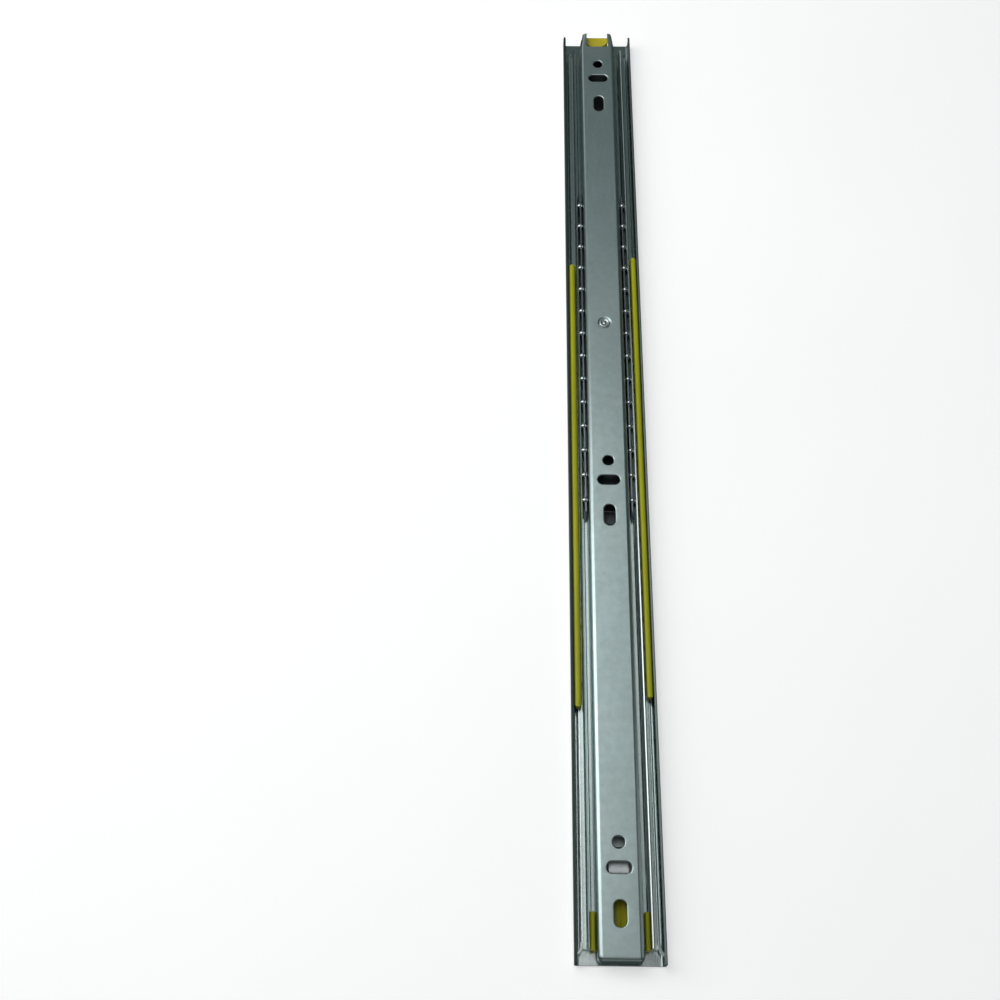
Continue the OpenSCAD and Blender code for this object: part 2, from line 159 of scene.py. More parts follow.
# Colours that more than one material or mask uses
RUBBED_EDGE = (0.78, 0.82, 0.8, 1)
# Painted shade on the top of the cabinet member's curled rim
RIM_SHADE_COLOUR = (0.16, 0.2, 0.19, 1)
# Painted shade: the dark colour of the web seen deep down the drawer member's holes
WEB_SHADE_COLOUR = (0.09, 0.105, 0.11, 1)

# Where the painted shade on the web ends: across the web, and above it
SHADE_HALF_WIDTH, SHADE_SIDE_FADE = 9.4, 0.6
SHADE_TOP, SHADE_TOP_FADE = 3.95, 0.15
SHADE_START_FADE = 8

# Camera and floor, in metres and degrees
CAMERA_PLACE = (-0.05654, -0.38214, 0.67917)
CAMERA_TURN = (26.238, 0.071, 0.704)
CAMERA_LENS = 47.695
FLOOR_REACH = 15.0


def vert(bm, x, s, z):
    return bm.verts.new((x * MM, (s - LENGTH / 2) * MM, z * MM))


def arc(centre, r, start, end, steps):
    angles = [math.radians(start + (end - start) * i / steps) for i in range(steps + 1)]
    return [Vector((centre[0] + r * math.cos(a), centre[1] + r * math.sin(a))) for a in angles]


def both_sides(half):
    """A whole path from its right-hand half, which starts where the flat web ends."""
    return [Vector((-p.x, p.y)) for p in reversed(half)] + list(half)


def offset_path(path, d):
    """The path moved sideways, to its left when d is positive."""
    moved = []
    for i, p in enumerate(path):
        before = (p - path[i - 1]).normalized() if i else None
        after = (path[i + 1] - p).normalized() if i < len(path) - 1 else before
        before = before or after
        tangent = (before + after).normalized()
        stretch = tangent.dot(before)
        moved.append(p + Vector((-tangent.y, tangent.x)) * d / stretch)
    return moved


def bridge(bm, row, other, closed=False):
    """Quads between two rows of vertices."""
    count = len(row)
    for i in range(count if closed else count - 1):
        j = (i + 1) % count
        bm.faces.new((row[i], row[j], other[j], other[i]))


def fill(bm, loops):
    """Faces over a flat region: the first loop is its outline and the others are holes in it."""
    edges = []
    for loop in loops:
        for pair in zip(loop, loop[1:] + loop[:1]):
            edges.append(bm.edges.get(pair) or bm.edges.new(pair))
    bmesh.ops.triangle_fill(bm, use_beauty=True, edges=edges, normal=(0, 0, 1))


def outline(at, half, corner, grow):
    """Rounded rectangle about (0, at) in X and S; a round hole or a slot is all corners."""
    points = []
    for quarter, (sx, ss) in enumerate(((1, 1), (-1, 1), (-1, -1), (1, -1))):
        centre = (sx * (half[0] - corner), at + ss * (half[1] - corner))
        points += arc(centre, corner + grow, 90 * quarter, 90 * quarter + 90, BEND_STEPS)
    return [p for i, p in enumerate(points) if (p - points[i - 1]).length > 1e-5]


def hole(bm, at, half, corner, z_top, z_bottom, roll):
    """Walls of a punched hole with a rolled top edge; returns its top and bottom loops."""
    quarter = [math.radians(90 * i / ROLL_STEPS) for i in range(ROLL_STEPS + 1)]
    rows = [(roll * (1 - math.sin(q)), z_top - roll * (1 - math.cos(q))) for q in quarter]
    rows += [(0, z_bottom + HOLE_BURR), (HOLE_BURR, z_bottom)]
    loops = []
    for grow, z in rows:
        loops.append([vert(bm, p.x, p.y, z) for p in outline(at, half, corner, grow)])
    for upper, lower in zip(loops, loops[1:]):
        bridge(bm, upper, lower, closed=True)
    return loops[0], loops[-1]


def lathe(bm, at, form, z_top):
    """Rings round a vertical axis at (0, at), one for each (radius, height) pair."""
    turn = [2 * math.pi * i / LATHE_STEPS for i in range(LATHE_STEPS)]
    rings = []
    for r, z in form:
        rings.append([vert(bm, r * math.cos(a), at + r * math.sin(a), z_top + z) for a in turn])
    for upper, lower in zip(rings, rings[1:]):
        bridge(bm, upper, lower, closed=True)
    return rings


class Section:
    """One cross-section of a sheet: top and bottom rows from left to right, and rounded edges."""

    def __init__(self, top, bottom, left, right):
        self.top, self.bottom, self.left, self.right = top, bottom, left, right


def tip_points(top, bottom, outward):
    """The points that round a sheet's long edge between its top and bottom surfaces."""
    middle, half = (top + bottom) / 2, (top - bottom) / 2
    angles = [math.radians(a) for a in (45, 90, 135)]
    return [middle + half * math.cos(a) + outward * TIP_ROUND * math.sin(a) for a in angles]


def section(bm, path, t, s, inset=0.0, shift=None):
    """The cross-section of a sheet of thickness t round its middle path, at s."""
    top, bottom = offset_path(path, t / 2 - inset), offset_path(path, inset - t / 2)
    left = tip_points(top[0], bottom[0], (path[0] - path[1]).normalized())
    right = tip_points(top[-1], bottom[-1], (path[-1] - path[-2]).normalized())
    rows = []
    for points in (top, bottom, left, right):
        moved = [shift(p, s) for p in points] if shift else points
        rows.append([vert(bm, p.x, s, p.y) for p in moved])
    return Section(*rows)


def skin(bm, one, other, flat=None, missing=()):
    """Faces between two cross-sections; the flat web is left open when its place is given."""
    for j in range(len(one.top) - 1):
        if j == flat or j in missing:
            continue
        for row, next_row in ((one.top, other.top), (one.bottom, other.bottom)):
            bm.faces.new((row[j], row[j + 1], next_row[j + 1], next_row[j]))
    for end, side in ((0, "left"), (-1, "right")):
        chains = [[c.top[end]] + getattr(c, side) + [c.bottom[end]] for c in (one, other)]
        bridge(bm, *chains)


def end_face(bm, cut, flat=None):
    """Closes the sheet at its first or last cross-section."""
    for j in range(len(cut.top) - 1):
        if j != flat:
            bm.faces.new((cut.top[j], cut.top[j + 1], cut.bottom[j + 1], cut.bottom[j]))
    bm.faces.new([cut.top[0]] + cut.left + [cut.bottom[0]])
    bm.faces.new([cut.top[-1]] + cut.right + [cut.bottom[-1]])


def wall_window(bm, one, other, j):
    """Closes the cut edges round a quad left out of both surfaces."""
    bridge(bm, [one.top[j], one.top[j + 1], other.top[j + 1], other.top[j]],
           [one.bottom[j], one.bottom[j + 1], other.bottom[j + 1], other.bottom[j]], closed=True)


def stations(start, end, extra=()):
    """Places of the cross-sections between start and end, with the extra ones among them."""
    count = round((end - start) / STATION_STEP)
    even = [start + (end - start) * i / count for i in range(1, count)]
    near = [s for s in even if all(abs(s - e) > STATION_CLEAR for e in extra)]
    inner = sorted(near + list(extra))
    return [start, start + SHEAR_EDGE] + inner + [end - SHEAR_EDGE, end]


def sheet_cuts(bm, path, t, places):
    """The cross-sections at all the places, with softened corners at both ends."""
    cuts = []
    for s in places:
        inset = SHEAR_EDGE if s in (places[0], places[-1]) else 0
        cuts.append(section(bm, path, t, s, inset))
    return cuts


def web_faces(bm, cuts, flat, holes, top_edge=(), bottom_edge=()):
    """Both faces of the flat web between the first and last full sections."""
    for side, far_edge, loops in (("top", top_edge, [h[0] for h in holes]),
                                  ("bottom", bottom_edge, [h[1] for h in holes])):
        left = [getattr(c, side)[flat] for c in cuts]
        right = [getattr(c, side)[flat + 1] for c in cuts]
        fill(bm, [left + list(far_edge) + right[::-1]] + loops)


def ribbon(bm, path, t, low, high, place):
    """A bent strip: the path's sheet outline carried from low to high along the third axis."""
    levels = ((SHEAR_EDGE, low), (0, low + SHEAR_EDGE), (0, high - SHEAR_EDGE), (SHEAR_EDGE, high))
    rows = []
    for inset, w in levels:
        sides = offset_path(path, t / 2 - inset), offset_path(path, inset - t / 2)
        rows.append([[vert(bm, *place(p, w)) for p in side] for side in sides])
    for (one, one_b), (other, other_b) in zip(rows, rows[1:]):
        bridge(bm, one + one_b[::-1], other + other_b[::-1], closed=True)
    for one, one_b in (rows[0], rows[-1]):
        bridge(bm, one, one_b)


def upright(p, w):
    """Place of a strip drawn in X and S and carried along Z."""
    return p.x, p.y, w


def crosswise(p, w):
    """Place of a strip drawn in S and Z and carried along X."""
    return w, p.x, p.y


def finish_piece(bm, name, node, body, sharp=SHEET_SHARP):
    """The piece made of the mesh, riding on its body in place of its CAD node."""
    bmesh.ops.recalc_face_normals(bm, faces=bm.faces)
    mesh = bpy.data.meshes.new(name)
    bm.to_mesh(mesh)
    bm.free()
    for polygon in mesh.polygons:
        polygon.use_smooth = True
    mesh.set_sharp_from_angle(angle=math.radians(sharp))
    piece = bpy.data.objects.new(name, mesh)
    bpy.context.scene.collection.objects.link(piece)
    normals = piece.modifiers.new("normals", "WEIGHTED_NORMAL")
    normals.keep_sharp = True
    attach(piece, body)
    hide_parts(node)
    return piece


def cabinet_holes(bm):
    holes = []
    for at, side in CABINET_ROUNDS:
        step = side * CABINET_SLOT_STEP
        for s, size in ((at, (ROUND_R, ROUND_R)), (at + step, LONG_SLOT_HALF),
                        (at + 2 * step, CROSS_SLOT_HALF)):
            holes.append(hole(bm, s, size, min(size), CABINET_SHEET, 0, CABINET_HOLE_ROLL))
    peg_s = LENGTH - BUMPER_PEG_FROM_REAR
    holes.append(hole(bm, peg_s, (PEG_R, PEG_R), PEG_R, CABINET_SHEET, 0, HOLE_BURR))
    return holes


def make_cabinet():
    flange_x = HALF_WIDTH - CABINET_SHEET / 2
    web_z = CABINET_SHEET / 2
    curl_end = CURL_ANGLE - math.degrees(TIP_ROUND / CURL_R)
    half = arc((flange_x - CABINET_BEND, web_z + CABINET_BEND), CABINET_BEND, -90, 0, BEND_STEPS)
    window_low = len(half)
    half.append(Vector((flange_x, LANCE_LOW)))
    half += arc((flange_x - CURL_R, CURL_Z), CURL_R, 0, curl_end, CURL_STEPS)
    path = both_sides(half)
    flat = len(half) - 1
    right_window, left_window = flat + 1 + window_low, flat - 1 - window_low

    bm = bmesh.new()
    places = stations(0, LENGTH, (LANCE_FRONT, LANCE_REAR))
    cuts = sheet_cuts(bm, path, CABINET_SHEET, places)
    for i, (one, other) in enumerate(zip(cuts, cuts[1:])):
        at_end = i in (0, len(cuts) - 2)
        lanced = places[i] == LANCE_FRONT
        skin(bm, one, other, None if at_end else flat, (left_window, right_window) if lanced else ())
        if lanced:
            wall_window(bm, one, other, left_window)
            wall_window(bm, one, other, right_window)
    end_face(bm, cuts[0])
    end_face(bm, cuts[-1])
    web_faces(bm, cuts[1:-1], flat, cabinet_holes(bm))

    reach = flange_x - LANCE_TIP_X
    low = LANCE_LOW + LANCE_LIFT
    for sign in (-1, 1):
        tongue = [Vector((sign * (flange_x - share * reach), LANCE_ROOT + ds)) for share, ds in LANCE_CURVE]
        ribbon(bm, tongue, CABINET_SHEET, low, low + LANCE_HEIGHT, upright)
    return finish_piece(bm, "cabinet_sheet", "cabinet_member", "cabinet")


def middle_path(web_z):
    """Half of the middle member's section: foot, neck, and groove round the inner balls."""
    groove_r = BALL_R + BALL_GAP + MIDDLE_SHEET / 2
    neck_z = web_z + 2 * FOOT_R + NECK_R
    reach = groove_r + NECK_R
    neck_x = BALL_X + math.sqrt(reach ** 2 - (BALL_Z - neck_z) ** 2)
    neck_angle = math.degrees(math.atan2(BALL_Z - neck_z, BALL_X - neck_x))
    groove_start = neck_angle - 180 + GROOVE_START
    groove_end = GROOVE_TOP - math.degrees(TIP_ROUND / groove_r)
    half = arc((FOOT_X, web_z + FOOT_R), FOOT_R, -90, 90, 2 * BEND_STEPS)
    half += arc((neck_x, neck_z), NECK_R, 270, neck_angle, NECK_STEPS)
    half += arc((BALL_X, BALL_Z), groove_r, groove_start, groove_end, GROOVE_STEPS)
    return half


def middle_holes(bm, top, bottom):
    openings = [(at, WINDOW_HALF, WINDOW_HALF[0]) for at in WINDOWS]
    bridge_slot = (BRIDGE_HALF + SLOT_SIDE, (BRIDGE[1] - BRIDGE[0]) / 2 - BRIDGE_SLOT_SHORT)
    openings.append(((BRIDGE[0] + BRIDGE[1]) / 2 + BRIDGE_SLOT_SHIFT, bridge_slot, BRIDGE_SLOT_CORNER))
    catch_slot = (CATCH_HALF + SLOT_SIDE, CATCH_SLOT_HALF)
    openings.append((CATCH_FRONT + MIDDLE_SHEET + CATCH_SLOT_HALF, catch_slot, CATCH_SLOT_CORNER))
    openings.append((BUFFER_PEG_S, (PEG_R, PEG_R), PEG_R))
    return [hole(bm, at, size, corner, top, bottom, MIDDLE_HOLE_ROLL) for at, size, corner in openings]


def rivet_bridge(bm, web_z):
    """The strip of the web that is formed up into the rivet's stop."""
    arch_z = BRIDGE_TOP - MIDDLE_SHEET / 2
    arch = [Vector((BRIDGE[0] + ds, web_z + dz)) for ds, dz in BRIDGE_FOOT]
    arch += [Vector((BRIDGE[0] + ds, arch_z + dz)) for ds, dz in BRIDGE_SHOULDER]
    rear = BRIDGE[1] - MIDDLE_SHEET / 2
    arch += arc((rear - BRIDGE_REAR_R, arch_z - BRIDGE_REAR_R), BRIDGE_REAR_R, 90, 0, BEND_STEPS)
    arch.append(Vector((rear, web_z)))
    ribbon(bm, arch, MIDDLE_SHEET, -BRIDGE_HALF, BRIDGE_HALF, crosswise)


def make_middle():
    web_z = CABINET_SHEET + WEB_GAP + MIDDLE_SHEET / 2
    top, bottom = web_z + MIDDLE_SHEET / 2, web_z - MIDDLE_SHEET / 2
    half = middle_path(web_z)
    flat = len(half) - 1
    start, end = node_ends("middle_member")

    bm = bmesh.new()
    cuts = sheet_cuts(bm, both_sides(half), MIDDLE_SHEET, stations(start, end))
    for i, (one, other) in enumerate(zip(cuts, cuts[1:])):
        skin(bm, one, other, None if i in (0, len(cuts) - 2) else flat)
    end_face(bm, cuts[0])
    end_face(bm, cuts[-1])
    web_faces(bm, cuts[1:-1], flat, middle_holes(bm, top, bottom))

    rivet_bridge(bm, web_z)
    for tab_front, tab_half, tab_top in ((CATCH_FRONT, CATCH_HALF, CATCH_TOP),
                                         (REAR_TAB_FRONT, REAR_TAB_HALF, REAR_TAB_TOP)):
        tab_s = tab_front + MIDDLE_SHEET / 2
        tab = [Vector((tab_s, web_z)), Vector((tab_s, tab_top))]
        ribbon(bm, tab, MIDDLE_SHEET, -tab_half, tab_half, crosswise)
    lug_s = end - LUG_SHEET / 2
    lug = [Vector((lug_s, web_z + 2 * FOOT_R)), Vector((lug_s, LUG_TOP))]
    for sign in (-1, 1):
        low, high = sorted(sign * x for x in LUG_X)
        ribbon(bm, lug, LUG_SHEET, low, high, crosswise)
    return finish_piece(bm, "middle_sheet", "middle_member", "middle")


def pinch(p, s):
    """Moves a point inward where the rear prongs turn towards each other."""
    inward = max(0.0, s - NOTCH_S) * math.tan(math.radians(PRONG_TURN))
    return Vector((p.x - math.copysign(inward, p.x), p.y))


def front_section(bm, path, bend_centre, front, turn):
    """A section of the drawer member's rounded front end, turn going from 0 to 90 degrees."""
    share, back = math.sin(math.radians(turn)), 1 - math.cos(math.radians(turn))
    rows = []
    for side, r in ((1, DRAWER_BEND + DRAWER_SHEET / 2), (-1, DRAWER_BEND - DRAWER_SHEET / 2)):
        s = front + back * r + (DRAWER_SHEET if side < 0 else 0)
        row = []
        for p in offset_path(path, side * DRAWER_SHEET / 2):
            x, z = abs(p.x), p.y
            if z > bend_centre.y:
                x, z = [bend_centre[i] + ((x, z)[i] - bend_centre[i]) * share for i in (0, 1)]
            x = min(x, bend_centre.x + r * share)
            row.append(Vector((math.copysign(x, p.x), s, z)))
        rows.append(row)
    tips = []
    for end in (0, -1):
        tangent = path[-1] - path[-2] if end else path[0] - path[1]
        outward = Vector((tangent.x, 0, tangent.y)).normalized()
        tips.append(tip_points(rows[0][end], rows[1][end], outward))
    return Section(*[[vert(bm, *p) for p in row] for row in rows + tips])


def notch_edge(bm, flank_x, flat, full, last, rear):
    """The web's edge round the rear notch, as rows from its top face to its bottom face."""
    corner = arc((NOTCH_HALF - NOTCH_CORNER, NOTCH_S + NOTCH_CORNER), NOTCH_CORNER, -90, 0, NOTCH_STEPS)
    edge = both_sides(corner + [Vector((NOTCH_TIP_HALF, rear))])
    line = [Vector((-flank_x, rear))] + edge + [Vector((flank_x, rear))]
    inside = offset_path(line, -SHEAR_EDGE)[1:-1]
    top, bottom = THICKNESS, THICKNESS - DRAWER_SHEET
    rows = []
    for points, z, cut, side in ((inside, top, full, "top"), (edge, top - SHEAR_EDGE, last, "top"),
                                 (edge, bottom + SHEAR_EDGE, last, "bottom"),
                                 (inside, bottom, full, "bottom")):
        ends = getattr(cut, side)
        rows.append([ends[flat]] + [vert(bm, p.x, p.y, z) for p in points] + [ends[flat + 1]])
    for row, other in zip(rows, rows[1:]):
        bridge(bm, row, other)
    return rows


def drawer_holes(bm):
    top, bottom = THICKNESS, THICKNESS - DRAWER_SHEET
    holes = []
    for at in HOLE_GROUPS:
        for s, size in ((at, LONG_SLOT_HALF), (at + CROSS_SLOT_STEP, CROSS_SLOT_HALF),
                        (at + ROUND_STEP, (ROUND_R, ROUND_R))):
            holes.append(hole(bm, s, size, min(size), top, bottom, DRAWER_HOLE_ROLL))
    seat = lathe(bm, RIVET_S, RIVET_SEAT, top)
    holes.append((seat[0], seat[-1]))
    return holes


def make_drawer():
    web_z = THICKNESS - DRAWER_SHEET / 2
    groove_r = BALL_R + BALL_GAP + DRAWER_SHEET / 2
    flank_x = BALL_X - groove_r
    bend_centre = Vector((flank_x - DRAWER_BEND, web_z - DRAWER_BEND))
    lip_end = LIP_END - math.degrees(TIP_ROUND / groove_r)
    half = arc(bend_centre, DRAWER_BEND, 90, 0, BEND_STEPS)
    half += arc((BALL_X, BALL_Z), groove_r, 180, lip_end, LIP_STEPS)
    path = both_sides(half)
    flat = len(half) - 1
    front, rear = node_ends("drawer_member")

    bm = bmesh.new()
    cuts = [front_section(bm, path, bend_centre, front, a) for a in FRONT_TURNS]
    rounded = len(cuts) - 1
    round_end = front + DRAWER_BEND + DRAWER_SHEET / 2
    prongs = [NOTCH_S + step for step in PRONG_STATIONS]
    first_s = round_end + FIRST_STATION
    for s in [first_s] + [s for s in stations(round_end, rear, prongs) if s > first_s]:
        cuts.append(section(bm, path, DRAWER_SHEET, s, SHEAR_EDGE if s == rear else 0, pinch))
    for i, (one, other) in enumerate(zip(cuts, cuts[1:])):
        skin(bm, one, other, None if i < rounded else flat)

    first, last, full = cuts[0], cuts[-1], cuts[-2]
    bm.faces.new(first.top)
    bm.faces.new(first.bottom)
    bridge(bm, [first.top[0]] + first.left + [first.bottom[0]],
           [first.top[-1]] + first.right + [first.bottom[-1]])
    end_face(bm, last, flat)
    rows = notch_edge(bm, flank_x, flat, full, last, rear)
    web_faces(bm, cuts[rounded:-1], flat, drawer_holes(bm), rows[0][1:-1], rows[-1][1:-1])
    return finish_piece(bm, "drawer_sheet", "drawer_member", "drawer")


def make_rivet():
    bm = bmesh.new()
    rings = lathe(bm, RIVET_S, RIVET_FORM, THICKNESS)
    for ring, z in ((rings[0], RIVET_FORM[0][1] + RIVET_CROWN), (rings[-1], RIVET_FORM[-1][1])):
        centre = vert(bm, 0, RIVET_S, THICKNESS + z)
        for i, v in enumerate(ring):
            bm.faces.new((v, ring[(i + 1) % len(ring)], centre))
    return finish_piece(bm, "rivet_head", "stop_rivet", "drawer", RIVET_SHARP)


def soften(node, width, segments=2):
    """Rounds the edges of a CAD node by modifiers, its mesh staying as it is."""
    for polygon in node.data.polygons:
        polygon.use_smooth = True
    weld = node.modifiers.new("weld", "WELD")
    weld.merge_threshold = 0.002 * MM
    bevel = node.modifiers.new("bevel", "BEVEL")
    bevel.width = width * MM
    bevel.segments = segments
    bevel.limit_method = "ANGLE"
    bevel.angle_limit = math.radians(BEVEL_SHARP)
    bevel.harden_normals = True
    normals = node.modifiers.new("normals", "WEIGHTED_NORMAL")
    normals.keep_sharp = True


def round_balls(node):
    """Closes the seams of the CAD balls and shades them smooth."""
    weld = node.modifiers.new("weld", "WELD")
    weld.merge_threshold = 0.001 * MM
    for polygon in node.data.polygons:
        polygon.use_smooth = True


def make_camera():
    data = bpy.data.cameras.new("camera")
    data.sensor_width = 36
    data.lens = CAMERA_LENS
    data.clip_start = 0.01
    camera = bpy.data.objects.new("camera", data)
    camera.location = CAMERA_PLACE
    camera.rotation_euler = [math.radians(a) for a in CAMERA_TURN]
    bpy.context.scene.collection.objects.link(camera)
    bpy.context.scene.camera = camera


def node_material(name):
    """A new material, its shader, a function that adds a node, and one that links sockets."""
    mat = bpy.data.materials.new(name)
    mat.use_nodes = True
    tree = mat.node_tree
    shader = tree.nodes["Principled BSDF"]

    def node(kind, inputs=None, **settings):
        made = tree.nodes.new(kind)
        for key, value in settings.items():
            setattr(made, key, value)
        for key, value in (inputs or {}).items():
            if isinstance(value, bpy.types.NodeSocket):
                tree.links.new(value, made.inputs[key])
            else:
                made.inputs[key].default_value = value
        return made

    return mat, shader, node, tree.links.new


def noise_at(node, scale, stretch=(1, 1, 1), detail=3, rough=0.5):
    """Noise with scale in features per metre, stretched along an axis by a smaller factor."""
    place = node("ShaderNodeTexCoord").outputs["Object"]
    mapped = node("ShaderNodeMapping", {"Vector": place, "Scale": stretch}).outputs["Vector"]
    inputs = {"Vector": mapped, "Scale": scale, "Detail": detail, "Roughness": rough}
    return node("ShaderNodeTexNoise", inputs).outputs["Fac"]


def remap(node, value, low, high, to_low, to_high):
    inputs = {"Value": value, "From Min": low, "From Max": high, "To Min": to_low, "To Max": to_high}
    return node("ShaderNodeMapRange", inputs).outputs["Result"]


def spread(node, noise, low, high):
    """Noise stretched from its usual range to the whole range from 0 to 1."""
    return remap(node, noise, low, high, 0, 1)


def maths(node, operation, *values):
    return node("ShaderNodeMath", dict(enumerate(values)), operation=operation).outputs[0]


def mix_colour(node, fac, one, other):
    inputs = {0: fac, 6: one, 7: other}
    return node("ShaderNodeMix", inputs, data_type="RGBA").outputs[2]


def bump(node, link, shader, height, strength):
    made = node("ShaderNodeBump", {"Height": height, "Strength": strength, "Distance": 0.02 * MM})
    link(made.outputs["Normal"], shader.inputs["Normal"])


def object_place(node):
    """Sockets for the object's own X, Y and Z."""
    place = node("ShaderNodeTexCoord").outputs["Object"]
    return list(node("ShaderNodeSeparateXYZ", {"Vector": place}).outputs)


def beyond(node, value, start, fade):
    """A mask that rises from 0 to 1 as a length in millimetres passes start."""
    return remap(node, value, start * MM, (start + fade) * MM, 0, 1)


def within(node, value, end, fade):
    """A mask that falls from 1 to 0 as a length in millimetres comes up to end."""
    return remap(node, value, end * MM, (end - fade) * MM, 0, 1)


def darker(colour, share):
    return (*[c * share for c in colour], 1)


def web_shade_mask(node, x, y, z, start):
    """Where the painted shade lies: on the web only, behind start."""
    web_shade = maths(node, "MULTIPLY", beyond(node, y, start, SHADE_START_FADE),
                 within(node, x, SHADE_HALF_WIDTH, SHADE_SIDE_FADE))
    return maths(node, "MULTIPLY", web_shade, within(node, z, SHADE_TOP, SHADE_TOP_FADE))


def zinc(name, dark, light, rough, wear=0.5, flank=None, shaded_rim=None, shade_from=None):
    """Zinc-plated steel: soft spangle, rolling lines, fine grain and rubbed edges.

    flank is the half width of the dull flat web and the roughness of the bends beyond it.
    shaded_rim is the height above which the rim's curl is painted dark as painted shade.
    shade_from is the place, from the slide's middle, behind which the flat web is painted dark as painted
    shade.
    """
    mat, shader, node, link = node_material(name)
    spangle = spread(node, noise_at(node, 260, detail=4, rough=0.6), 0.32, 0.68)
    cloud = spread(node, noise_at(node, 45, (1, 0.5, 1)), 0.35, 0.65)
    lines = spread(node, noise_at(node, 2600, (1, 0.02, 1), 2), 0.3, 0.7)
    fine = noise_at(node, 2800, detail=2)
    x, y, z = object_place(node)
    across = maths(node, "ABSOLUTE", x)

    colour = mix_colour(node, spangle, (*dark, 1), (*light, 1))
    colour = mix_colour(node, remap(node, cloud, 0, 1, 0, 0.22), colour, darker(dark, 0.8))
    edge = node("ShaderNodeNewGeometry").outputs["Pointiness"]
    colour = mix_colour(node, remap(node, edge, 0.505, 0.56, 0, wear), colour, RUBBED_EDGE)
    surface = remap(node, spangle, 0, 1, rough[1], rough[0])
    surface = maths(node, "ADD", surface, remap(node, lines, 0, 1, -0.03, 0.04))
    if flank:
        surface = remap(node, beyond(node, across, flank[0], 0.6), 0, 1, surface, flank[1])
    # Painted shade: the rim's curl above the given height is darkened
    if shaded_rim:
        rim_shade = beyond(node, z, shaded_rim, 0.25)
        colour = mix_colour(node, rim_shade, colour, RIM_SHADE_COLOUR)
        surface = remap(node, rim_shade, 0, 1, surface, 0.5)
    # Painted shade: the flat web behind the given place is darkened to stand in for the shade down the
    # holes
    if shade_from:
        web_shade = web_shade_mask(node, across, y, z, shade_from)
        colour = mix_colour(node, web_shade, colour, WEB_SHADE_COLOUR)
        surface = remap(node, web_shade, 0, 1, surface, 0.5)
    link(colour, shader.inputs["Base Color"])
    link(surface, shader.inputs["Roughness"])
    shader.inputs["Metallic"].default_value = 1.0
    height = maths(node, "ADD", fine, remap(node, spangle, 0, 1, 0, 0.8))
    height = maths(node, "ADD", height, remap(node, lines, 0, 1, 0, 0.25))
    bump(node, link, shader, height, 0.3)
    return mat


def ball_steel(name):
    """Polished steel with faint smudges."""
    mat, shader, node, link = node_material(name)
    smudge = spread(node, noise_at(node, 500, detail=4), 0.35, 0.65)
    link(mix_colour(node, smudge, (0.55, 0.59, 0.6, 1), (0.64, 0.67, 0.68, 1)), shader.inputs["Base Color"])
    link(remap(node, smudge, 0, 1, 0.1, 0.2), shader.inputs["Roughness"])
    shader.inputs["Metallic"].default_value = 1.0
    return mat


def yellow_plastic(name, dark, light, unshaded_rear=None, edge_shade=None):
    """Moulded plastic: cloudy colour, a fine satin skin, and a little light inside.

    unshaded_rear is the colour of the piece at the slide's rear end; in front of it the darker colours are
    painted shade.
    edge_shade is a bar's centre and the half width beyond which its edges are darkened as painted shade.
    """
    mat, shader, node, link = node_material(name)
    cloud = spread(node, noise_at(node, 60, (1, 0.3, 1), 4), 0.35, 0.65)
    satin = noise_at(node, 2200, detail=3)
    flow = spread(node, noise_at(node, 900, (1, 0.06, 1), 2), 0.3, 0.7)
    x, y = object_place(node)[:2]

    colour = mix_colour(node, cloud, (*dark, 1), (*light, 1))
    colour = mix_colour(node, remap(node, flow, 0, 1, 0, 0.18), colour, darker(dark, 0.6))
    # The rear piece keeps the plain colour; the darker front is painted shade
    if unshaded_rear:
        colour = mix_colour(node, beyond(node, y, 0, 10), colour, (*unshaded_rear, 1))
    # Painted shade along the bar's edges
    if edge_shade:
        off_centre = maths(node, "SUBTRACT", maths(node, "ABSOLUTE", x), edge_shade[0] * MM)
        off_centre = maths(node, "ABSOLUTE", off_centre)
        colour = mix_colour(node, beyond(node, off_centre, edge_shade[1], 0.7), colour, darker(dark, 0.3))
    link(colour, shader.inputs["Base Color"])
    link(remap(node, satin, 0.3, 0.7, 0.3, 0.46), shader.inputs["Roughness"])
    bump(node, link, shader, maths(node, "ADD", satin, remap(node, flow, 0, 1, 0, 0.5)), 0.25)
    shader.inputs["Subsurface Weight"].default_value = 0.12
    shader.inputs["Subsurface Radius"].default_value = (1.0, 0.9, 0.2)
    shader.inputs["Subsurface Scale"].default_value = 0.8 * MM
    shader.inputs["Specular IOR Level"].default_value = 0.3
    return mat


def floor_material():
    mat, shader, node, link = node_material("floor")
    shade = remap(node, noise_at(node, 6), 0.3, 0.7, 0.86, 0.9)
    colour = node("ShaderNodeCombineColor", {"Red": shade, "Green": shade, "Blue": shade}).outputs[0]
    link(colour, shader.inputs["Base Color"])
    shader.inputs["Roughness"].default_value = 0.9
    shader.inputs["Specular IOR Level"].default_value = 0.1
    shader.inputs["Emission Color"].default_value = (1, 1, 1, 1)
    shader.inputs["Emission Strength"].default_value = 0.56
    return mat


def make_floor():
    """A pale floor that the metal doesn't reflect, so that upright flanges stay dark."""
    mesh = bpy.data.meshes.new("floor")
    corners = [(x * FLOOR_REACH, y * FLOOR_REACH, 0) for x, y in ((-1, -1), (1, -1), (1, 1), (-1, 1))]
    mesh.from_pydata(corners, [], [(0, 1, 2, 3)])
    mesh.materials.append(floor_material())
    floor = bpy.data.objects.new("floor", mesh)
    bpy.context.scene.collection.objects.link(floor)
    floor.visible_glossy = False


def area_light(name, radiance, size, place, aim, colour=(1, 1, 1)):
    """A soft panel of a given radiance at any size, which the camera itself doesn't see."""
    data = bpy.data.lights.new(name, "AREA")
    data.shape = "RECTANGLE"
    data.size, data.size_y = size
    data.energy = radiance * math.pi * size[0] * size[1]
    data.color = colour
    lamp = bpy.data.objects.new(name, data)
    lamp.location = place
    lamp.rotation_euler = (Vector(aim) - Vector(place)).to_track_quat("-Z", "Y").to_euler()
    lamp.visible_camera = False
    bpy.context.scene.collection.objects.link(lamp)


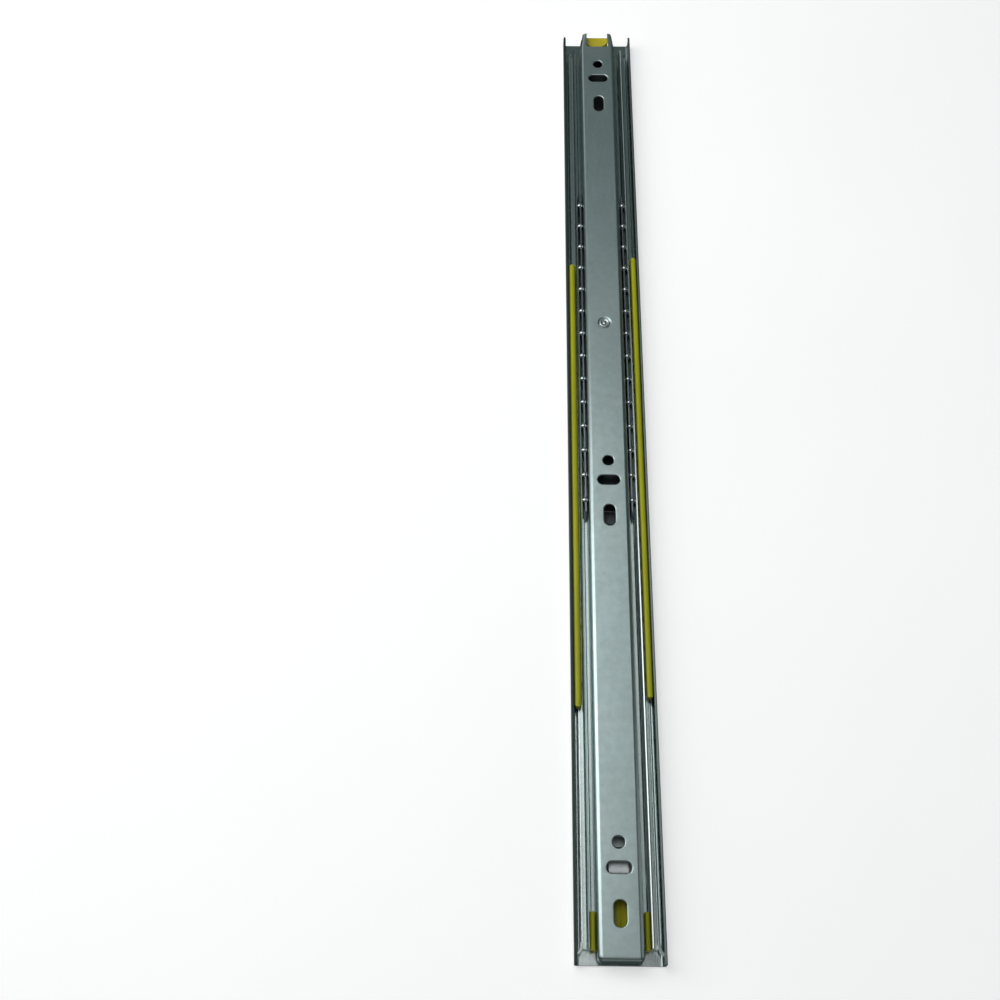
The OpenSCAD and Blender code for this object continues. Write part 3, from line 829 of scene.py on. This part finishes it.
def make_lights():
    area_light("key_left", 1.6, (0.8, 1.55), (-0.9, 0.22, 0.85), (0, 0.22, 0))
    area_light("left_low", 0.8, (0.5, 1.55), (-1.15, 0.22, 0.34), (0, 0.22, 0))
    area_light("overhead", 0.72, (0.6, 1.2), (-0.2, 0.05, 1.0), (-0.2, 0.05, 0))
    area_light("overhead_core", 0.74, (0.5, 0.45), (-0.15, 0.28, 0.98), (-0.15, 0.28, 0))
    area_light("key_rear", 0.45, (0.8, 1.1), (-0.9, 1.55, 0.85), (0, 1.55, 0))
    area_light("overhead_rear", 0.06, (0.8, 0.9), (0.0, 1.15, 0.95), (0, 1.15, 0), (0.65, 1, 1))
    area_light("right_low", 0.3, (0.5, 2.4), (1.6, 0, 0.36), (0, 0, 0))
    area_light("front_low", 0.35, (2.4, 0.5), (0, -1.7, 0.38), (0, 0, 0))
    area_light("rear_low", 0.3, (2.4, 0.5), (0, 1.8, 0.4), (0, 0, 0))


def make_world():
    world = bpy.data.worlds.new("world")
    bpy.context.scene.world = world
    world.use_nodes = True
    background = world.node_tree.nodes["Background"]
    background.inputs["Color"].default_value = (0.8, 1.0, 0.97, 1)
    background.inputs["Strength"].default_value = 0.05
    bpy.context.scene.view_settings.view_transform = "Standard"


def dress(obj, mat):
    obj.data.materials.clear()
    obj.data.materials.append(mat)


def make_rails():
    """The three rails and the rivet, each in its own tone of zinc."""
    dress(make_cabinet(), zinc("cabinet_zinc", (0.53, 0.61, 0.6), (0.59, 0.67, 0.66), (0.16, 0.25),
                               flank=(21.6, 0.6), shaded_rim=8.4))
    dress(make_middle(), zinc("middle_zinc", (0.55, 0.63, 0.62), (0.61, 0.69, 0.68), (0.36, 0.44),
                              flank=(9, 0.25), shade_from=-98))
    dress(make_drawer(), zinc("drawer_zinc", (0.485, 0.61, 0.605), (0.555, 0.69, 0.685), (0.37, 0.43),
                              flank=(8.8, 0.3)))
    dress(make_rivet(), zinc("rivet_zinc", (0.52, 0.61, 0.6), (0.6, 0.68, 0.67), (0.3, 0.38)))


def dress_nodes(nodes):
    """Materials and softened edges for the nodes that stay as CAD made them."""
    # The bars' darker edges are painted shade
    bar_yellow = yellow_plastic("retainer_yellow", (0.54, 0.56, 0.015), (0.63, 0.65, 0.025),
                                edge_shade=(18.9, 0.95))
    # The front buffer's darker olive is painted shade; the rear bumper keeps the plain yellow
    stop_yellow_front_shaded = yellow_plastic("stop_yellow_shaded_front", (0.42, 0.41, 0.01), (0.52, 0.5, 0.02),
                                 unshaded_rear=(0.85, 0.72, 0.03))
    # The cage's darker zinc is painted shade, for the shadow of the drawer member it lies under
    cage_shaded_zinc = zinc("cage_zinc_painted_shade", (0.22, 0.25, 0.27), (0.3, 0.34, 0.36), (0.3, 0.4),
                      wear=0.1, shade_from=-400)
    chrome = ball_steel("ball_chrome")
    for name in ("outer_retainer_left", "outer_retainer_right"):
        dress(nodes[name], bar_yellow)
        soften(nodes[name], 0.15)
    for name in ("front_buffer", "rear_bumper"):
        dress(nodes[name], stop_yellow_front_shaded)
        soften(nodes[name], 0.3, 3)
    dress(nodes["inner_cage"], cage_shaded_zinc)
    soften(nodes["inner_cage"], 0.1)
    for name, node in nodes.items():
        if "balls" in name:
            dress(node, chrome)
            round_balls(node)


make_camera()
make_floor()
make_lights()
make_world()
make_rails()
dress_nodes(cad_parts)
